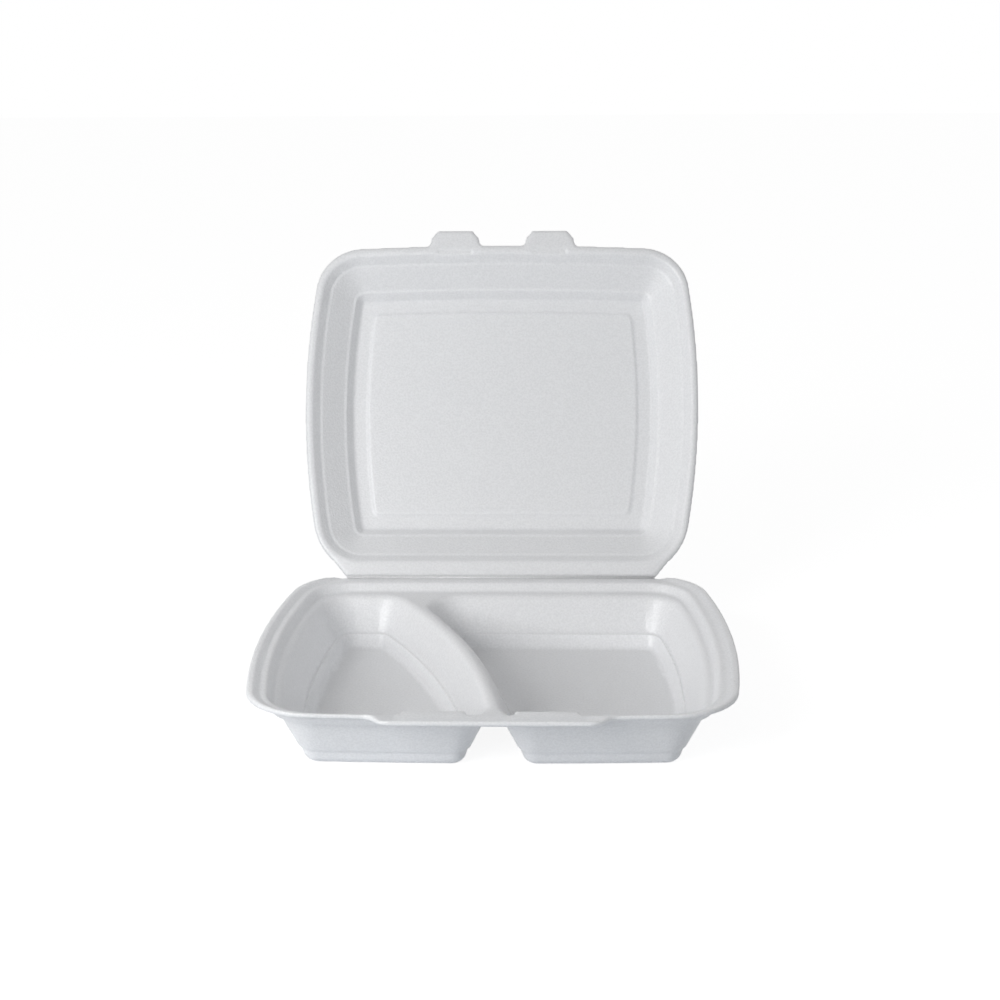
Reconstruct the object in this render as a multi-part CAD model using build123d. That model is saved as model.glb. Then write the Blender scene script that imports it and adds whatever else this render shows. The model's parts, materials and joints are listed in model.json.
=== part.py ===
"""Hinged foam meal box with a two-compartment tray, standing open.

One foam sheet is formed into a tray and a lid joined by a pressed crease. Both halves are modelled about
that crease: X runs along it, distances in front of it are counted towards -Y, and depths away from the plane
in which the halves meet are counted up. The tray is then turned over, so that its depths run down, and the
lid is swung open. Last, both move to the finished frame, whose origin is the bottom centre of the open box.
Millimetres and degrees throughout.
"""
from build123d import *
import math
import os

# Foam sheet and crease
tray_skin = 2.3
lid_skin = 1.9
closing_gap = 0.3
crease_end_inset = 33.5
crease_strip_reach = 10.0
crease_strip_flare = 8.2
open_angle = 118.7
cut_overrun = 4.0

# Outline shared by tray and lid
belly_share = 0.536
side_bow_radius = 450.0
front_bow_radius = 1800.0

# Tray rim, with a raised outer edge round the lid's seat
tray_half_width = 120.0
tray_reach = 201.5
tray_height = 33.5
tray_back_corner = 32.0
tray_front_corner = 34.0
rim_rise = 1.5
rim_edge_drop = 0.9
rim_edge_chamfer = 0.7
rim_underside_inset = 3.0
rim_underside_run = 1.5
seat_clearance = 1.1
seat_bank_run = 3.4

# Front lip with the two tab slots, and the shelves behind them
lip_half_width = 49.0
lip_reach = 6.8
lip_flare = 9.5
lip_root = 4.0
lip_round = 9.0
slot_length = 27.0
slot_width = 1.8
slot_setback = 1.7
shelf_spacing = 26.0
shelf_half_length = 14.8
shelf_reach = 4.6
shelf_root = 3.0
shelf_corner = 1.6
bay_ramp_run = 9.0

# Step and land below the rim
step_side_inset = 9.7
step_back_inset = 8.9
step_front_inset = 5.5
step_back_corner = 23.0
step_front_corner = 26.0
step_run = 2.8
step_chamfer = 0.6
land_depth = 4.8

# Compartments
pocket_side_inset = 16.0
pocket_back_inset = 17.2
pocket_front_inset = 11.2
pocket_outer_corner = 18.0
pocket_ridge_corner = 17.0
pocket_wall_run = 9.2
pocket_bead_height = 8.1
pocket_bead_ledge = 1.2
pocket_foot_run = 2.6
pocket_floor_round = 3.6
pocket_mouth_round = 4.2

# Dividing ridge, an arc across the tray placed by the small compartment's width
small_back_width = 41.7
small_middle_width = 89.2
small_front_width = 99.2
ridge_half_width = 3.1

# Lid
lid_side_gap = 7.6
lid_front_gap = 4.9
lid_front_corner = 27.5
lid_crease_corner = 36.0
lid_edge_thickness = 1.6
lid_edge_run = 1.9
lid_edge_fall = 0.55
lid_edge_chamfer = 0.5
lid_side_rim = 3.8
lid_front_rim = 4.8
lid_crease_rim = 9.0
lid_shoulder_run = 4.4
lid_shoulder_depth = 5.0
lid_shoulder_ledge = 0.9
lid_wall_run = 12.0
lid_bead_depth = 14.0
lid_bead_ledge = 1.0
lid_foot_run = 3.7
lid_depth = 19.0
lid_floor_round = 2.0
lid_mouth_chamfer = 0.6
panel_margin = 7.8
panel_corner = 4.0
panel_rise = 1.2
panel_run = 1.4

# Lid tabs and the rim notches behind them
tab_spacing = 27.6
tab_root_half_width = 15.3
tab_shoulder_half_width = 13.9
tab_tip_half_width = 10.0
tab_length = 9.2
tab_shoulder_share = 0.48
tab_corner = 2.4
tab_root_round = 2.5
tab_bay_margin = 1.0
notch_half_length = 10.2
notch_depth = 2.0
notch_cut = 1.1
notch_corner = 0.8

seat_gap = closing_gap / 2
belly_from_crease = belly_share * tray_reach
crease_half_length = tray_half_width - crease_end_inset
lid_half_width = tray_half_width - lid_side_gap
lid_reach = tray_reach - lid_front_gap
floor_depth = tray_height - tray_skin
bead_depth = floor_depth - pocket_bead_height


def side_x(half_width, from_crease, inset):
    """Half width of a bowed outline, moved inwards, at a distance in front of the crease."""
    radius = side_bow_radius - inset
    return half_width - side_bow_radius + math.sqrt(radius**2 - (from_crease - belly_from_crease)**2)


def front_reach(x, front, inset):
    """Distance from the crease of a bowed front edge, moved inwards, at one place along it."""
    return front - front_bow_radius + math.sqrt((front_bow_radius - inset)**2 - x**2)


def rounded(outline, corners):
    """Outline with its corners nearest to the given places rounded, as (place, radius) says."""
    for place, radius in corners:
        outline = fillet(outline.vertices().sort_by_distance(place)[0], radius)
    return outline


def closed(edges):
    """Sketch inside edges that are listed counterclockwise."""
    return Sketch() + make_face(Wire(edges))


def barrel(half_width, back, front, back_corner, front_corner, inset):
    """Outline with bowed sides, a straight back and a slightly bowed front, moved inwards."""
    back_y = -back - inset
    front_y = -front_reach(side_x(half_width, front, inset), front, inset)
    back_right = (side_x(half_width, -back_y, inset), back_y)
    front_right = (side_x(half_width, -front_y, inset), front_y)
    back_left = (-back_right[0], back_y)
    front_left = (-front_right[0], front_y)
    edges = [
        Line(back_right, back_left),
        ThreePointArc(back_left, (inset - half_width, -belly_from_crease), front_left),
        ThreePointArc(front_left, (0, inset - front), front_right),
        ThreePointArc(front_right, (half_width - inset, -belly_from_crease), back_right),
    ]
    back_round = back_corner - inset
    front_round = front_corner - inset
    corners = [(back_right, back_round), (back_left, back_round),
               (front_left, front_round), (front_right, front_round)]
    return rounded(closed(edges), corners).face()


def plate(outline, near, far):
    """Straight-sided solid between two depths."""
    return extrude(Pos(Z=near) * outline, far - near, dir=(0, 0, 1))


def well(outline, wall):
    """Solid inside one drafted wall, given as (inset, depth) at its mouth and at its narrower foot."""
    (mouth_inset, mouth_depth), (foot_inset, foot_depth) = wall
    depth = foot_depth - mouth_depth
    draft = math.degrees(math.atan2(foot_inset - mouth_inset, depth))
    return extrude(Pos(Z=mouth_depth) * outline(mouth_inset), depth, taper=draft)


def backed(wall, skin):
    """The same wall on the far side of the foam skin, from its mouth's depth to the skin below its foot."""
    (mouth_inset, mouth_depth), (foot_inset, foot_depth) = wall
    draft = (foot_inset - mouth_inset) / (foot_depth - mouth_depth)
    back_inset = mouth_inset - skin * math.sqrt(1 + draft**2)
    back_depth = foot_depth + skin
    return [(back_inset, mouth_depth), (back_inset + draft * (back_depth - mouth_depth), back_depth)]


def edges_at(solid, depth):
    """Edges that lie flat at one depth."""
    return solid.edges().filter_by_position(Axis.Z, depth - seat_gap, depth + seat_gap)


def stacked(outline, walls, floor_round):
    """Solid of drafted walls one below another, rounded at its foot."""
    *upper, last = [well(outline, wall) for wall in walls]
    solid = fillet(edges_at(last, walls[-1][1][1]), floor_round)
    for section in reversed(upper):
        solid += section
    return solid


def mouth_face(body, depth):
    """Largest flat face that looks out of the hollow at one depth."""
    facing = [face for face in body.faces().filter_by(Axis.Z) if face.normal_at().Z < 0]
    level = [face for face in facing if abs(face.center().Z - depth) < seat_gap]
    return max(level, key=lambda face: face.area)


def mirrored(shape):
    """A shape and its copy on the other side of the middle plane."""
    return shape + mirror(shape, about=Plane.YZ)


# Outlines

def tray_outline(inset):
    return barrel(tray_half_width, seat_gap, tray_reach, tray_back_corner, tray_front_corner, inset)


def step_outline(inset):
    return barrel(tray_half_width - step_side_inset, step_back_inset, tray_reach - step_front_inset,
                  step_back_corner, step_front_corner, inset)


def lid_outline(inset):
    return barrel(lid_half_width, seat_gap, lid_reach, lid_crease_corner, lid_front_corner, inset)


def lid_well_outline(inset):
    corner = lid_front_corner - lid_side_rim
    return barrel(lid_half_width - lid_side_rim, lid_crease_rim, lid_reach - lid_front_rim,
                  corner, corner, inset)


def panel_outline(inset):
    margin = lid_walls()[-1][1][0] + panel_margin
    return barrel(lid_half_width - lid_side_rim - margin, lid_crease_rim + margin,
                  lid_reach - lid_front_rim - margin, panel_corner, panel_corner, inset)


def ridge_arc():
    """Centre, as x and distance from the crease, and radius of the ridge's middle line."""
    places = [(small_back_width, pocket_back_inset), (small_middle_width, tray_reach / 2),
              (small_front_width, tray_reach - pocket_front_inset)]
    half_width = tray_half_width - pocket_side_inset
    points = [(width - side_x(half_width, from_crease, 0), -from_crease) for width, from_crease in places]
    arc = ThreePointArc(*points)
    return arc.arc_center.X, -arc.arc_center.Y, arc.radius


def pocket_outline(hand, inset):
    """Outline of the compartment on one hand of the ridge, -1 left and 1 right, moved inwards."""
    centre_x, centre_from_crease, radius = ridge_arc()
    ridge_radius = radius + hand * (ridge_half_width + inset)
    half_width = tray_half_width - pocket_side_inset
    front = tray_reach - pocket_front_inset

    def on_ridge(from_crease):
        return (centre_x + math.sqrt(ridge_radius**2 - (from_crease - centre_from_crease)**2), -from_crease)

    def on_side(from_crease):
        return (hand * side_x(half_width, from_crease, inset), -from_crease)

    def on_front(x):
        return (x, -front_reach(x, front, inset))

    back = pocket_back_inset + inset
    middle = (back + front - inset) / 2
    back_ridge = on_ridge(back)
    back_side = on_side(back)
    front_side = on_side(-on_front(on_side(front)[0])[1])
    front_ridge = on_ridge(-on_front(on_ridge(front)[0])[1])
    front_middle = on_front((front_side[0] + front_ridge[0]) / 2)
    turn = -hand
    edges = [
        Line(*[back_ridge, back_side][::turn]),
        ThreePointArc(*[back_side, on_side(middle), front_side][::turn]),
        ThreePointArc(*[front_side, front_middle, front_ridge][::turn]),
        ThreePointArc(*[front_ridge, on_ridge(middle), back_ridge][::turn]),
    ]
    ridge_round = pocket_ridge_corner - inset
    outer_round = pocket_outer_corner - inset
    corners = [(back_ridge, ridge_round), (back_side, outer_round),
               (front_side, outer_round), (front_ridge, ridge_round)]
    return rounded(closed(edges[::turn]), corners).face()


def crease_strip(inset):
    """Strip along the crease that the lid's rim ends in, wider away from the crease, moved inwards."""
    flare = crease_strip_flare / crease_strip_reach
    near = seat_gap + inset
    far = seat_gap + crease_strip_reach - inset

    def end_x(from_crease):
        return crease_half_length + flare * (from_crease - seat_gap) - inset * math.sqrt(1 + flare**2)

    points = [(end_x(near), -near), (-end_x(near), -near), (-end_x(far), -far), (end_x(far), -far)]
    return make_face(Polyline(*points, close=True))


def lip_outline():
    """Lip in front of the tray's rim, wider at its root."""
    root = tray_reach - lip_root
    tip = tray_reach + lip_reach
    wide = lip_half_width + lip_flare
    points = [(-lip_half_width, -tip), (lip_half_width, -tip), (wide, -root), (-wide, -root)]
    return make_face(Polyline(*points, close=True))


def tray_rim_outline():
    """Outline of the tray's rim, its lip running into the front edge in smooth bends."""
    tip = (lip_half_width, -tray_reach - lip_reach)
    root = (lip_half_width + lip_flare * lip_reach / (lip_reach + lip_root), -tray_reach)
    places = [tip, root, (-tip[0], tip[1]), (-root[0], root[1])]
    outline = Sketch() + [tray_outline(0), lip_outline()]
    return rounded(outline, [(place, lip_round) for place in places])


# Tray

def pocket_walls():
    foot_inset = pocket_wall_run + pocket_bead_ledge
    return [
        [(0, land_depth), (pocket_wall_run, bead_depth)],
        [(foot_inset, bead_depth), (foot_inset + pocket_foot_run, floor_depth)],
    ]


def pocket(hand):
    """Hollow of one compartment."""
    return stacked(lambda inset: pocket_outline(hand, inset), pocket_walls(), pocket_floor_round)


def foot(hand):
    """Outside of one compartment, a skin away from its hollow."""
    walls = [backed(wall, tray_skin) for wall in pocket_walls()]
    return stacked(lambda inset: pocket_outline(hand, inset), walls, pocket_floor_round + tray_skin)


def tray_rim():
    """Raised edge, seat and lip, before the step below is hollowed out."""
    edge = plate(tray_rim_outline(), -rim_rise, rim_edge_drop)
    edge = chamfer(edges_at(edge, -rim_rise), rim_edge_chamfer)
    under = well(tray_outline, [(rim_underside_inset - rim_underside_run, rim_edge_drop),
                                (rim_underside_inset, seat_gap + tray_skin)])
    bank = [(-seat_clearance - seat_bank_run, -rim_rise), (-seat_clearance, seat_gap)]
    seat = well(lid_outline, bank) + well(crease_strip, bank)
    return edge + under - seat - tab_bay()


def tab_bay():
    """Cut that lowers the rim's front to the seat where the lid's tabs lie, with a ramp at either end."""
    half = tab_spacing + tab_root_half_width + tab_bay_margin
    wide = half + bay_ramp_run * (rim_rise + seat_gap + cut_overrun) / (rim_rise + seat_gap)
    top = -rim_rise - cut_overrun
    points = [(-half, seat_gap), (half, seat_gap), (wide, top), (-wide, top)]
    profile = Plane.XZ * make_face(Polyline(*points, close=True))
    tip = lid_reach + tab_length + tab_bay_margin
    return extrude(Pos(Y=-belly_from_crease) * profile, tip - belly_from_crease, dir=(0, -1, 0))


def shelf():
    """Rim widened inwards behind one tab slot."""
    length = shelf_reach + shelf_root
    back = tray_reach - step_front_inset - shelf_reach
    outline = RectangleRounded(2 * shelf_half_length, length, shelf_corner)
    return plate(Pos(shelf_spacing, -back - length / 2) * outline, seat_gap, seat_gap + tray_skin)


def tab_slot():
    """Cut through the lip that takes one lid tab."""
    from_crease = lid_reach + slot_setback
    outline = SlotOverall(slot_length, slot_width)
    return plate(Pos(tab_spacing, -from_crease) * outline, -rim_rise, land_depth)


def tray():
    step_wall = [(0, seat_gap), (step_run, land_depth)]
    body = tray_rim()
    body += well(step_outline, backed(step_wall, tray_skin))
    for hand in (-1, 1):
        body += foot(hand)
    body -= well(step_outline, step_wall)
    body = chamfer(mouth_face(body, seat_gap).inner_wires().edges(), step_chamfer)
    for hand in (-1, 1):
        body -= pocket(hand)
    land = mouth_face(body, land_depth)
    body = fillet(land.inner_wires().edges(), pocket_mouth_round)
    body += mirrored(shelf())
    return mirror(body - mirrored(tab_slot()), about=Plane.XY)


# Lid, modelled shut

def lid_walls():
    wall_mouth = lid_shoulder_run + lid_shoulder_ledge
    wall_foot = wall_mouth + lid_wall_run
    foot_mouth = wall_foot + lid_bead_ledge
    return [
        [(0, seat_gap), (lid_shoulder_run, lid_shoulder_depth)],
        [(wall_mouth, lid_shoulder_depth), (wall_foot, lid_bead_depth)],
        [(foot_mouth, lid_bead_depth), (foot_mouth + lid_foot_run, lid_depth)],
    ]


def raised_panel(inset, base_depth):
    """Panel that stands up from a floor at one depth, towards the mouth."""
    wall = [(inset, -base_depth), (inset + panel_run, panel_rise - base_depth)]
    return mirror(well(panel_outline, wall), about=Plane.XY)


def tab():
    """One locking tab on the lid's front edge."""
    root = lid_reach - lid_front_rim / 2
    tip = lid_reach + tab_length
    shoulder = lid_reach + tab_shoulder_share * tab_length
    right = [(tab_tip_half_width, -tip), (tab_shoulder_half_width, -shoulder), (tab_root_half_width, -root)]
    left = [(-x, y) for x, y in reversed(right)]
    outline = Sketch() + make_face(Polyline(*right, *left, close=True))
    outline = rounded(outline, [(place, tab_corner) for place in right[:2] + left[-2:]])
    return Pos(X=tab_spacing) * outline


def lid_rim_outline():
    """Outline of the lid's rim, with its tabs and the strip at the crease."""
    outline = Sketch() + [lid_outline(0), crease_strip(0), mirrored(tab())]
    places = [side * tab_spacing + hand * tab_root_half_width for side in (-1, 1) for hand in (-1, 1)]
    return rounded(outline, [((x, -front_reach(x, lid_reach, 0)), tab_root_round) for x in places])


def lid_notch():
    """Cut in the rim's inner edge behind one tab."""
    back = lid_reach - lid_front_rim - notch_depth
    outline = RectangleRounded(2 * notch_half_length, 2 * notch_depth, notch_corner)
    return plate(Pos(tab_spacing, -back - notch_depth) * outline, 0, seat_gap + notch_cut)


def lid():
    walls = lid_walls()
    rim = plate(lid_rim_outline(), seat_gap, seat_gap + lid_edge_thickness)
    rim = chamfer(edges_at(rim, seat_gap + lid_edge_thickness), lid_edge_chamfer)
    rim = chamfer(edges_at(rim, seat_gap), lid_edge_run, lid_edge_fall, reference=mouth_face(rim, seat_gap))
    backs = [backed(wall, lid_skin) for wall in walls]
    body = rim + stacked(lid_well_outline, backs, lid_floor_round + lid_skin)
    body -= stacked(lid_well_outline, walls, lid_floor_round)
    body = chamfer(mouth_face(body, seat_gap).inner_wires().edges(), lid_mouth_chamfer)
    panel_draft = panel_run / panel_rise
    panel_back_inset = lid_skin * (math.sqrt(1 + panel_draft**2) - panel_draft)
    body += raised_panel(0, lid_depth)
    body -= raised_panel(panel_back_inset, lid_depth + lid_skin)
    return body - mirrored(lid_notch())


os.makedirs("parts", exist_ok=True)
tray_half = tray()
lid_half = Rot(X=-open_angle) * lid()
box = Compound([tray_half, lid_half]).bounding_box()
to_frame = Pos(-box.center().X, -box.center().Y, -box.min.Z)
export_step(to_frame * tray_half, "parts/tray.step")
export_step(to_frame * lid_half, "parts/lid.step")
print("crease in the finished frame:", to_frame.position)
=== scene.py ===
"""Foam meal box: soft pressed shells, the crease that joins them, and a plain white studio."""
import json
import math

import bmesh
import bpy
from bpy.props import FloatProperty, FloatVectorProperty, IntProperty, PointerProperty
from mathutils import Euler, Matrix, Vector


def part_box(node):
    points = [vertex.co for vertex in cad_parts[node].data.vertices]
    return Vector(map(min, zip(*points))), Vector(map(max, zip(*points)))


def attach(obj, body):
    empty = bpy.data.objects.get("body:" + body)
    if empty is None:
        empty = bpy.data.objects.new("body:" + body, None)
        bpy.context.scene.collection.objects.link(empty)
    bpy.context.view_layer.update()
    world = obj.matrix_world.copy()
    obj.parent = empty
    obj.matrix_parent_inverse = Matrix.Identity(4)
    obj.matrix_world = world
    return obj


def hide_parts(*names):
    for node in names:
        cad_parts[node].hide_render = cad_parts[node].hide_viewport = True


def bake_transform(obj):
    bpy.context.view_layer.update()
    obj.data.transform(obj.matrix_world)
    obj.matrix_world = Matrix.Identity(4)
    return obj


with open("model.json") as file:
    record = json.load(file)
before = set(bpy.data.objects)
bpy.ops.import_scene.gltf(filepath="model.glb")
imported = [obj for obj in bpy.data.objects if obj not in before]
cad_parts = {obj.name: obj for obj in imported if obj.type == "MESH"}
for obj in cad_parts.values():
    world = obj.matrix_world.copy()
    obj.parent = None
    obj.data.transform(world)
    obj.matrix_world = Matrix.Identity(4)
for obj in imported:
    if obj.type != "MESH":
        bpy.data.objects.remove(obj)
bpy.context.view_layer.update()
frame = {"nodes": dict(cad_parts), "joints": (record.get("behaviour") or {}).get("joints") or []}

bl_info = {
    "name": "Foam Meal Box",
    "version": (1, 0, 0),
    "blender": (4, 5, 0),
    "location": "View3D > Sidebar > Foam Box",
    "description": "Dresses a hinged foam meal box and sets it in a white studio",
    "category": "Object",
}

MM = 0.001
TRAY_LOW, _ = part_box("tray")
_, LID_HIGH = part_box("lid")

# The crease that the lid turns about, and how far the lid stands open
CREASE = Vector(frame["joints"][0]["pos_m"])
OPEN_ANGLE = math.radians(118.7)

# How close points lie to be one point, and to be on a level
MERGE = 0.004 * MM
EDGE = 0.03 * MM

# Tab slots in the tray's front lip, and the level of the beads at the foot of its walls
SLOT_X = 27.6 * MM
SLOT_Y = CREASE.y - 198.3 * MM
SLOT_LENGTH = 27.0 * MM
SLOT_WIDTH = 1.8 * MM
BEAD_Z = 10.4 * MM
BEAD_CLEAR = 1.0 * MM

# Levels of the shut lid above the crease: its outer edge, and the floor of the notches behind its tabs
LID_EDGE = 0.7 * MM
NOTCH_FLOOR = 1.25 * MM
NOTCH_LENGTH = 20.4 * MM
NOTCH_FRONT = CREASE.y - 194.0 * MM

# Softening of the halves, and the arc of the web along the crease
SMOOTH_SHARE = 0.5
FACES_TO_TRIANGLES = 2.0
WEB_STEPS = 8
WEB_SMOOTH_ANGLE = math.radians(40.0)

# Ranges of the two cell patterns that are spread over colour and roughness
GRAIN_LOW, GRAIN_HIGH = 0.35, 0.65
CELL_LOW, CELL_HIGH = 0.1, 0.7

# Floor, as the camera sees it and as it lights the box
FLOOR_SIZE = 8.0
FLOOR_DROP = 0.02 * MM
FLOOR_SHADED = (0.25, 0.25, 0.25, 1.0)
FLOOR_GLOW = 0.9
FLOOR_PALE = (0.70, 0.735, 0.775, 1.0)

# Colour of all light, and the width of the camera's sensor in millimetres
WHITE = (1.0, 1.0, 1.0, 1.0)
SENSOR_WIDTH = 36.0


class FoamFinish(bpy.types.PropertyGroup):
    """Look of the pressed foam skin."""
    light_colour: FloatVectorProperty(
        name="Light colour", description="Colour of the foam where its cells lie close to the skin",
        subtype="COLOR", size=4, min=0.0, max=1.0, default=(0.889, 0.895, 0.911, 1.0))
    dark_colour: FloatVectorProperty(
        name="Dark colour", description="Colour of the foam between its cells", subtype="COLOR",
        size=4, min=0.0, max=1.0, default=(0.831, 0.837, 0.853, 1.0))
    roughness: FloatProperty(
        name="Roughness", description="Roughness of the pressed skin", subtype="FACTOR",
        min=0.0, max=1.0, default=0.33)
    roughness_spread: FloatProperty(
        name="Roughness spread", description="How far the cells vary the roughness", subtype="FACTOR",
        min=0.0, max=1.0, default=0.12)
    shine: FloatProperty(
        name="Shine", description="Strength of the skin's own reflection", subtype="FACTOR",
        min=0.0, max=1.0, default=0.6)
    glow_through: FloatProperty(
        name="Glow through", description="Share of light that spreads inside the foam",
        subtype="FACTOR", min=0.0, max=1.0, default=0.7)
    glow_reach: FloatProperty(
        name="Glow reach", description="How far light spreads inside the foam", subtype="DISTANCE",
        unit="LENGTH", default=4.0 * MM)
    cell_size: FloatProperty(
        name="Cell size", description="Width of one foam cell under the skin", subtype="DISTANCE",
        unit="LENGTH", default=1.1 * MM)
    cell_depth: FloatProperty(
        name="Cell depth", description="Height of the cells' print in the skin", subtype="DISTANCE",
        unit="LENGTH", default=0.17 * MM)
    swell_size: FloatProperty(
        name="Swell size", description="Width of the slow waves in the sheet", subtype="DISTANCE",
        unit="LENGTH", default=26.0 * MM)
    swell_depth: FloatProperty(
        name="Swell depth", description="Height of the slow waves in the sheet", subtype="DISTANCE",
        unit="LENGTH", default=0.25 * MM)


class ShellSettings(bpy.types.PropertyGroup):
    """Softening of the two pressed halves."""
    tray_step: FloatProperty(
        name="Tray step", description="Spacing of the mesh that the tray's soft skin is made of",
        subtype="DISTANCE", unit="LENGTH", default=0.7 * MM)
    lid_step: FloatProperty(
        name="Lid step", description="Spacing of the mesh that the lid's soft skin is made of",
        subtype="DISTANCE", unit="LENGTH", default=0.56 * MM)
    tray_rounds: IntProperty(
        name="Tray rounds", description="How often the tray's skin is smoothed",
        min=0, max=30, default=2)
    lid_rounds: IntProperty(
        name="Lid rounds", description="How often the lid's skin is smoothed",
        min=0, max=30, default=5)
    kept_faces: IntProperty(
        name="Kept faces", description="Triangles that either half keeps",
        min=1000, max=200000, default=185000)
    rim_roll: FloatProperty(
        name="Rim roll", description="How far the lid's outer edge is rolled back", subtype="DISTANCE",
        unit="LENGTH", default=0.4 * MM)
    bead_groove: FloatProperty(
        name="Bead groove", description="Depth of the groove along the compartments' beads",
        subtype="DISTANCE", unit="LENGTH", default=1.3 * MM)
    notch_fill: FloatProperty(
        name="Notch fill", description="How much shallower the notches behind the tabs are",
        subtype="DISTANCE", unit="LENGTH", default=0.55 * MM)
    slot_squeeze: FloatProperty(
        name="Slot squeeze", description="Share of their width that the springy tab slots stay open",
        subtype="FACTOR", min=0.1, max=1.0, default=0.6)


class CreaseSettings(bpy.types.PropertyGroup):
    """The thin web of foam that is left along the crease."""
    half_length: FloatProperty(
        name="Half length", description="Half the length of the web along the crease",
        subtype="DISTANCE", unit="LENGTH", default=86.0 * MM)
    depth: FloatProperty(
        name="Depth", description="Distance of the web's middle from the fold line", subtype="DISTANCE",
        unit="LENGTH", default=0.95 * MM)
    thickness: FloatProperty(
        name="Thickness", description="Thickness of the pressed web", subtype="DISTANCE",
        unit="LENGTH", default=0.5 * MM)
    root: FloatProperty(
        name="Root", description="Length of web inside either rim", subtype="DISTANCE",
        unit="LENGTH", default=1.6 * MM)


class StudioSettings(bpy.types.PropertyGroup):
    """Camera, floor and lights."""
    camera_place: FloatVectorProperty(
        name="Camera place", description="Where the camera stands", subtype="XYZ", unit="LENGTH",
        size=3, default=(0.0254, -0.9114, 0.3569))
    camera_turn: FloatVectorProperty(
        name="Camera turn", description="How the camera is turned", subtype="EULER", unit="ROTATION",
        size=3, default=[math.radians(a) for a in (73.918, 0.378, 1.395)])
    lens: FloatProperty(
        name="Lens", description="Focal length on a 36 mm sensor, in millimetres", default=65.57)
    ambient: FloatProperty(
        name="Ambient", description="Strength of the even light from all round", min=0.0, default=0.345)
    key_place: FloatVectorProperty(
        name="Key place", description="Where the large light stands", subtype="XYZ", unit="LENGTH",
        size=3, default=(-0.63, -0.76, 0.48))
    key_size: FloatProperty(
        name="Key size", description="Width of the large light", subtype="DISTANCE", unit="LENGTH",
        default=0.55)
    key_power: FloatProperty(
        name="Key power", description="Power of the large light at the front left", unit="POWER",
        default=6.7)


class FoamBoxSettings(bpy.types.PropertyGroup):
    """All settings of the foam box."""
    finish: PointerProperty(type=FoamFinish)
    shell: PointerProperty(type=ShellSettings)
    crease: PointerProperty(type=CreaseSettings)
    studio: PointerProperty(type=StudioSettings)


def settings():
    """The scene's foam box settings."""
    return bpy.context.scene.foam_box


def deselect():
    """Leaves object mode with nothing selected."""
    if bpy.context.object and bpy.context.object.mode != "OBJECT":
        bpy.ops.object.mode_set(mode="OBJECT")
    bpy.ops.object.select_all(action="DESELECT")


def apply_all(piece):
    """Applies a piece's modifiers in order."""
    bpy.context.view_layer.objects.active = piece
    for modifier in list(piece.modifiers):
        bpy.ops.object.modifier_apply(modifier=modifier.name)


def node_at(tree, kind, place, **inputs):
    """Adds a shader node with constant inputs set on its own sockets."""
    node = tree.nodes.new(kind)
    node.location = place
    for name, value in inputs.items():
        node.inputs[name.replace("_", " ")].default_value = value
    return node


def foam_material():
    """White foam with a faint print of its cells and slow waves in the sheet."""
    material = bpy.data.materials.get("pressed_foam")
    if material:
        return material
    finish = settings().finish
    material = bpy.data.materials.new("pressed_foam")
    material.use_nodes = True
    tree = material.node_tree
    link = tree.links.new
    skin = tree.nodes["Principled BSDF"]
    skin.inputs["Specular IOR Level"].default_value = finish.shine
    skin.inputs["Subsurface Weight"].default_value = finish.glow_through
    skin.inputs["Subsurface Radius"].default_value = (1.0, 1.0, 1.0)
    skin.inputs["Subsurface Scale"].default_value = finish.glow_reach

    place = node_at(tree, "ShaderNodeTexCoord", (-1300, 0))
    cell_scale = 1.0 / finish.cell_size
    swell_scale = 1.0 / finish.swell_size
    cells = node_at(tree, "ShaderNodeTexVoronoi", (-1000, 150), Scale=cell_scale, Randomness=1.0)
    grain = node_at(tree, "ShaderNodeTexNoise", (-1000, -150), Scale=cell_scale, Detail=1.0)
    swell = node_at(tree, "ShaderNodeTexNoise", (-1000, -450), Scale=swell_scale, Detail=1.0)
    for texture in (cells, grain, swell):
        link(place.outputs["Object"], texture.inputs["Vector"])

    shade = node_at(tree, "ShaderNodeMapRange", (-700, 550), From_Min=GRAIN_LOW, From_Max=GRAIN_HIGH)
    mottle = node_at(tree, "ShaderNodeMix", (-450, 550))
    mottle.data_type = "RGBA"
    mottle.inputs["A"].default_value = finish.dark_colour
    mottle.inputs["B"].default_value = finish.light_colour
    link(grain.outputs["Fac"], shade.inputs["Value"])
    link(shade.outputs["Result"], mottle.inputs["Factor"])
    link(mottle.outputs["Result"], skin.inputs["Base Color"])

    gloss = node_at(tree, "ShaderNodeMapRange", (-700, 300), From_Min=CELL_LOW, From_Max=CELL_HIGH)
    gloss.inputs["To Min"].default_value = finish.roughness - finish.roughness_spread / 2
    gloss.inputs["To Max"].default_value = finish.roughness + finish.roughness_spread / 2
    link(cells.outputs["Distance"], gloss.inputs["Value"])
    link(gloss.outputs["Result"], skin.inputs["Roughness"])

    waves = node_at(tree, "ShaderNodeBump", (-650, -450), Strength=1.0, Distance=finish.swell_depth)
    skin_print = node_at(tree, "ShaderNodeBump", (-350, -250), Strength=1.0, Distance=finish.cell_depth)
    link(swell.outputs["Fac"], waves.inputs["Height"])
    link(grain.outputs["Fac"], skin_print.inputs["Height"])
    link(waves.outputs["Normal"], skin_print.inputs["Normal"])
    link(skin_print.outputs["Normal"], skin.inputs["Normal"])
    return material


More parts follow.
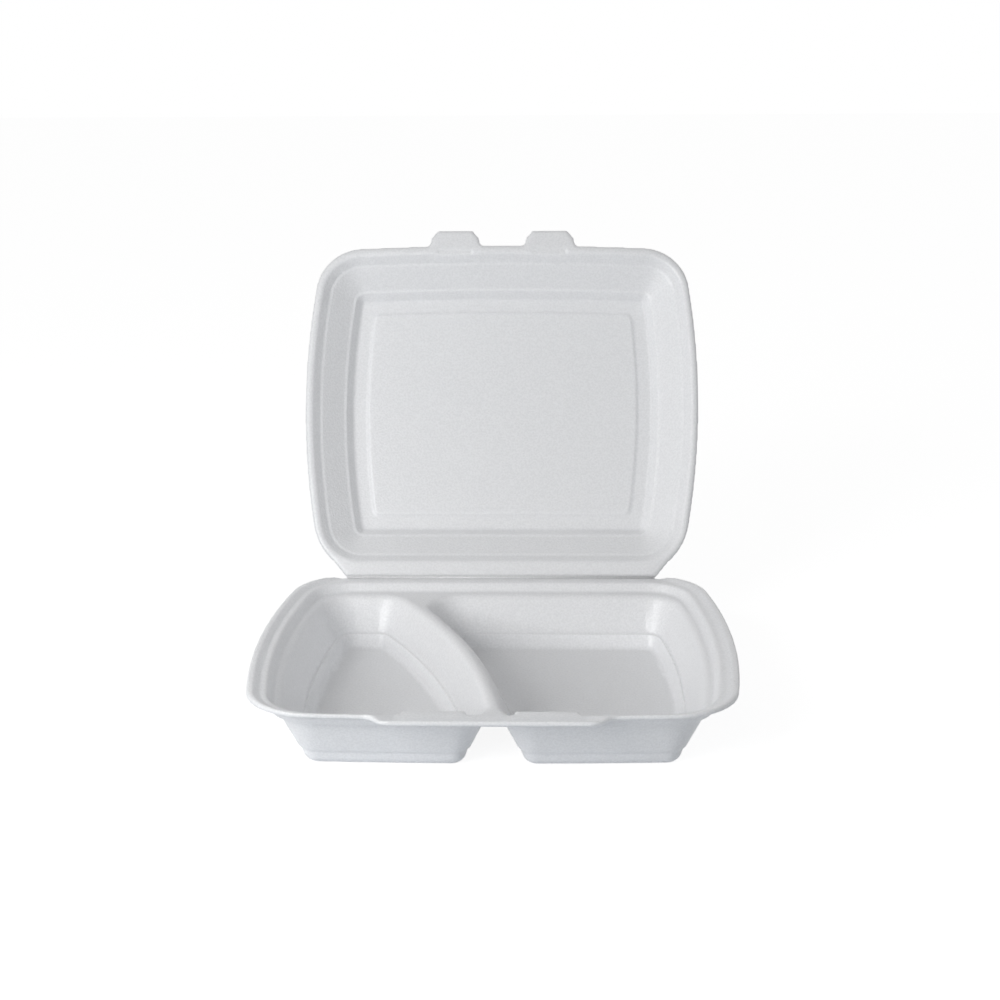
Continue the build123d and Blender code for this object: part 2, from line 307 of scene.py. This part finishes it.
def merged_copy(node, name):
    """A copy of one half's solid, merged, free of its body and of the solid's own notes."""
    source = frame["nodes"][node]
    deselect()
    source.select_set(True)
    bpy.context.view_layer.objects.active = source
    bpy.ops.object.duplicate()
    shell = bpy.context.object
    shell.name = name
    shell.data.name = name
    shell.parent = None
    for key in list(shell.keys()):
        del shell[key]
    bpy.ops.object.mode_set(mode="EDIT")
    bpy.ops.mesh.select_all(action="SELECT")
    bpy.ops.mesh.remove_doubles(threshold=MERGE)
    bpy.ops.mesh.customdata_custom_splitnormals_clear()
    bpy.ops.object.mode_set(mode="OBJECT")
    return shell


def move_points(piece, wanted, shift):
    """Moves the points of a piece that the test accepts."""
    bpy.ops.object.mode_set(mode="EDIT")
    bpy.ops.mesh.select_mode(type="VERT")
    bpy.ops.mesh.select_all(action="DESELECT")
    mesh = bmesh.from_edit_mesh(piece.data)
    for vertex in mesh.verts:
        vertex.select = wanted(vertex)
    mesh.select_flush(True)
    bmesh.update_edit_mesh(piece.data)
    bpy.ops.transform.translate(value=shift)
    bpy.ops.object.mode_set(mode="OBJECT")


def soften(shell, step, rounds):
    """Gives a half an even skin, smooths its pressed edges and thins the faces out where it is flat."""
    skin = shell.modifiers.new("skin", "REMESH")
    skin.mode = "VOXEL"
    skin.voxel_size = step
    soft = shell.modifiers.new("soft", "SMOOTH")
    soft.factor = SMOOTH_SHARE
    soft.iterations = rounds
    apply_all(shell)
    fewer = shell.modifiers.new("fewer", "DECIMATE")
    triangles = FACES_TO_TRIANGLES * len(shell.data.polygons)
    fewer.ratio = min(1.0, settings().shell.kept_faces / triangles)
    apply_all(shell)
    bpy.ops.object.shade_smooth()


def dress(shell, node):
    """Gives a half its foam and puts it in place of the plain solid."""
    shell.data.materials.clear()
    shell.data.materials.append(foam_material())
    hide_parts(node)
    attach(shell, node)


def tray_shell():
    """The soft tray, its tab slots sprung nearly shut and a groove along its compartments' beads."""
    shape = settings().shell
    shell = merged_copy("tray", "tray_shell")
    squeeze = SLOT_WIDTH * (1.0 - shape.slot_squeeze) / 2

    def on_slot_wall(point, hand):
        inside = abs(abs(point.x) - SLOT_X) < SLOT_LENGTH / 2 + EDGE
        return inside and -EDGE < hand * (point.y - SLOT_Y) < SLOT_WIDTH / 2 + EDGE

    def at_wall_foot(vertex):
        level = abs(vertex.co.z - BEAD_Z) < EDGE
        ends = [edge.other_vert(vertex) for edge in vertex.link_edges]
        return level and any(end.co.z > BEAD_Z + BEAD_CLEAR for end in ends)

    for hand in (-1, 1):
        move_points(shell, lambda vertex: on_slot_wall(vertex.co, hand), (0, -hand * squeeze, 0))
    move_points(shell, at_wall_foot, (0, 0, -shape.bead_groove))
    soften(shell, shape.tray_step, shape.tray_rounds)
    dress(shell, "tray")


def lid_shell():
    """The soft lid, softened while shut, with its outer edge rolled back and shallow tab notches."""
    shape = settings().shell
    shell = merged_copy("lid", "lid_shell")
    turn = Matrix.Rotation(OPEN_ANGLE, 4, "X")
    about = Matrix.Translation(CREASE) @ turn @ Matrix.Translation(-CREASE)
    shell.data.transform(about)

    def on_rim_edge(vertex):
        return abs(vertex.co.z - CREASE.z - LID_EDGE) < EDGE

    def on_notch_floor(vertex):
        level = abs(vertex.co.z - CREASE.z - NOTCH_FLOOR) < EDGE
        inside = abs(abs(vertex.co.x) - SLOT_X) < NOTCH_LENGTH / 2 + EDGE
        return level and inside and vertex.co.y > NOTCH_FRONT

    move_points(shell, on_rim_edge, (0, 0, shape.rim_roll))
    move_points(shell, on_notch_floor, (0, 0, -shape.notch_fill))
    soften(shell, shape.lid_step, shape.lid_rounds)
    shell.data.transform(about.inverted())
    dress(shell, "lid")


def crease_web():
    """Thin strip of pressed foam that turns about the fold line, rooted in both rims."""
    shape = settings().crease
    opening = math.pi - OPEN_ANGLE
    deselect()
    bpy.ops.mesh.primitive_plane_add(size=2.0, location=(0, 0, 0))
    web = bpy.context.object
    web.name = "crease_web"
    web.data.name = "crease_web"
    bpy.ops.object.mode_set(mode="EDIT")
    bpy.ops.mesh.select_all(action="SELECT")
    bpy.ops.transform.resize(value=(shape.half_length, shape.root / 2, 1.0))
    bpy.ops.transform.translate(value=CREASE + Vector((0, -shape.root / 2, -shape.depth)))
    bpy.ops.mesh.select_mode(type="VERT")
    bpy.ops.mesh.select_all(action="DESELECT")
    mesh = bmesh.from_edit_mesh(web.data)
    for vertex in mesh.verts:
        vertex.select = vertex.co.y > CREASE.y - shape.root / 2
    mesh.select_flush(True)
    bmesh.update_edit_mesh(web.data)
    bpy.ops.mesh.spin(steps=WEB_STEPS, angle=opening, center=CREASE, axis=(1, 0, 0))
    away = Vector((0, math.cos(opening), math.sin(opening))) * shape.root
    bpy.ops.mesh.extrude_edges_move(TRANSFORM_OT_translate={"value": away})
    bpy.ops.mesh.select_all(action="SELECT")
    bpy.ops.mesh.normals_make_consistent(inside=False)
    bpy.ops.object.mode_set(mode="OBJECT")
    solid = web.modifiers.new("solid", "SOLIDIFY")
    solid.thickness = shape.thickness
    solid.offset = 0.0
    bpy.ops.object.shade_smooth_by_angle(angle=WEB_SMOOTH_ANGLE)
    apply_all(web)
    web.data.materials.append(foam_material())
    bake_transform(web)


def area_light(name, place, target, size, power):
    """A soft square light that looks at one point."""
    bpy.ops.object.light_add(type="AREA", location=place)
    light = bpy.context.object
    light.name = name
    light.data.size = size
    light.data.energy = power
    light.rotation_euler = (Vector(target) - Vector(place)).to_track_quat("-Z", "Y").to_euler()


def looked_at(tree, height):
    """Nodes that tell rays of the picture, mirrored and let through ones too, from other light."""
    path = node_at(tree, "ShaderNodeLightPath", (-400, height))
    either = node_at(tree, "ShaderNodeMath", (-200, height))
    either.operation = "MAXIMUM"
    any_view = node_at(tree, "ShaderNodeMath", (0, height))
    any_view.operation = "MAXIMUM"
    tree.links.new(path.outputs["Is Camera Ray"], either.inputs[0])
    tree.links.new(path.outputs["Is Glossy Ray"], either.inputs[1])
    tree.links.new(either.outputs["Value"], any_view.inputs[0])
    tree.links.new(path.outputs["Is Transmission Ray"], any_view.inputs[1])
    return any_view.outputs["Value"]


def floor_material():
    """White to the camera, with the box's shadow kept, and plain pale for all other light."""
    material = bpy.data.materials.new("white_floor")
    material.use_nodes = True
    tree = material.node_tree
    tree.nodes.clear()
    link = tree.links.new
    output = node_at(tree, "ShaderNodeOutputMaterial", (600, 0))
    shaded = node_at(tree, "ShaderNodeBsdfDiffuse", (-400, 0), Color=FLOOR_SHADED)
    glow = node_at(tree, "ShaderNodeEmission", (-400, -150), Color=WHITE, Strength=FLOOR_GLOW)
    seen = node_at(tree, "ShaderNodeAddShader", (-150, -50))
    pale = node_at(tree, "ShaderNodeBsdfDiffuse", (-150, -250), Color=FLOOR_PALE)
    pick = node_at(tree, "ShaderNodeMixShader", (300, 0))
    link(shaded.outputs["BSDF"], seen.inputs[0])
    link(glow.outputs["Emission"], seen.inputs[1])
    link(looked_at(tree, 400), pick.inputs["Fac"])
    link(pale.outputs["BSDF"], pick.inputs[1])
    link(seen.outputs["Shader"], pick.inputs[2])
    link(pick.outputs["Shader"], output.inputs["Surface"])
    return material


def white_world(strength):
    """White behind the box, and an even light of the given strength on it."""
    world = bpy.data.worlds.new("studio")
    bpy.context.scene.world = world
    world.use_nodes = True
    tree = world.node_tree
    tree.nodes.clear()
    link = tree.links.new
    output = node_at(tree, "ShaderNodeOutputWorld", (600, 0))
    even = node_at(tree, "ShaderNodeBackground", (0, 0), Color=WHITE, Strength=strength)
    white = node_at(tree, "ShaderNodeBackground", (0, -150), Color=WHITE, Strength=1.0)
    pick = node_at(tree, "ShaderNodeMixShader", (300, 0))
    link(looked_at(tree, 300), pick.inputs["Fac"])
    link(even.outputs["Background"], pick.inputs[1])
    link(white.outputs["Background"], pick.inputs[2])
    link(pick.outputs["Shader"], output.inputs["Surface"])


class FOAMBOX_OT_crease_web(bpy.types.Operator):
    """Makes the thin web along the crease"""
    bl_idname = "foambox.crease_web"
    bl_label = "Crease Web"

    def execute(self, context):
        crease_web()
        return {"FINISHED"}


class FOAMBOX_OT_tray_shell(bpy.types.Operator):
    """Makes the soft tray with its two compartments"""
    bl_idname = "foambox.tray_shell"
    bl_label = "Tray Shell"

    def execute(self, context):
        tray_shell()
        return {"FINISHED"}


class FOAMBOX_OT_lid_shell(bpy.types.Operator):
    """Makes the soft lid with its panel and tabs"""
    bl_idname = "foambox.lid_shell"
    bl_label = "Lid Shell"

    def execute(self, context):
        lid_shell()
        return {"FINISHED"}


class FOAMBOX_OT_stage(bpy.types.Operator):
    """Makes the white floor, the lights and the camera"""
    bl_idname = "foambox.stage"
    bl_label = "Stage"

    def execute(self, context):
        studio = settings().studio
        deselect()
        bpy.ops.mesh.primitive_plane_add(size=FLOOR_SIZE, location=(0, 0, -FLOOR_DROP))
        floor = bpy.context.object
        floor.name = "floor"
        bpy.ops.object.transform_apply(location=True)
        floor.data.materials.append(floor_material())
        white_world(studio.ambient)
        aim = (TRAY_LOW + LID_HIGH) / 2
        area_light("key", studio.key_place, aim, studio.key_size, studio.key_power)
        bpy.ops.object.camera_add(location=studio.camera_place, rotation=Euler(studio.camera_turn))
        camera = bpy.context.object
        camera.name = "photo_camera"
        camera.data.sensor_width = SENSOR_WIDTH
        camera.data.lens = studio.lens
        context.scene.camera = camera
        context.scene.view_settings.view_transform = "Standard"
        return {"FINISHED"}


class FOAMBOX_PT_panel(bpy.types.Panel):
    """Lists the foam box's settings and steps"""
    bl_idname = "FOAMBOX_PT_panel"
    bl_label = "Foam Box"
    bl_space_type = "VIEW_3D"
    bl_region_type = "UI"
    bl_category = "Foam Box"

    def draw(self, context):
        box_settings = context.scene.foam_box
        groups = (box_settings.finish, box_settings.shell, box_settings.crease, box_settings.studio)
        for group in groups:
            column = self.layout.column(align=True)
            for name in group.bl_rna.properties.keys():
                if name not in ("rna_type", "name"):
                    column.prop(group, name)
        for step in STEPS:
            self.layout.operator(step.bl_idname)


STEPS = (FOAMBOX_OT_tray_shell, FOAMBOX_OT_lid_shell, FOAMBOX_OT_crease_web, FOAMBOX_OT_stage)
GROUPS = (FoamFinish, ShellSettings, CreaseSettings, StudioSettings, FoamBoxSettings)
CLASSES = (*GROUPS, *STEPS, FOAMBOX_PT_panel)


def register():
    """Makes the settings, steps and panel known."""
    for item in CLASSES:
        bpy.utils.register_class(item)
    bpy.types.Scene.foam_box = PointerProperty(type=FoamBoxSettings)


def unregister():
    """Takes the settings, steps and panel away again."""
    del bpy.types.Scene.foam_box
    for item in reversed(CLASSES):
        bpy.utils.unregister_class(item)


def main():
    """Builds the dressed box and its studio."""
    register()
    bpy.ops.foambox.tray_shell()
    bpy.ops.foambox.lid_shell()
    bpy.ops.foambox.crease_web()
    bpy.ops.foambox.stage()
    deselect()


if __name__ == "__main__":
    main()
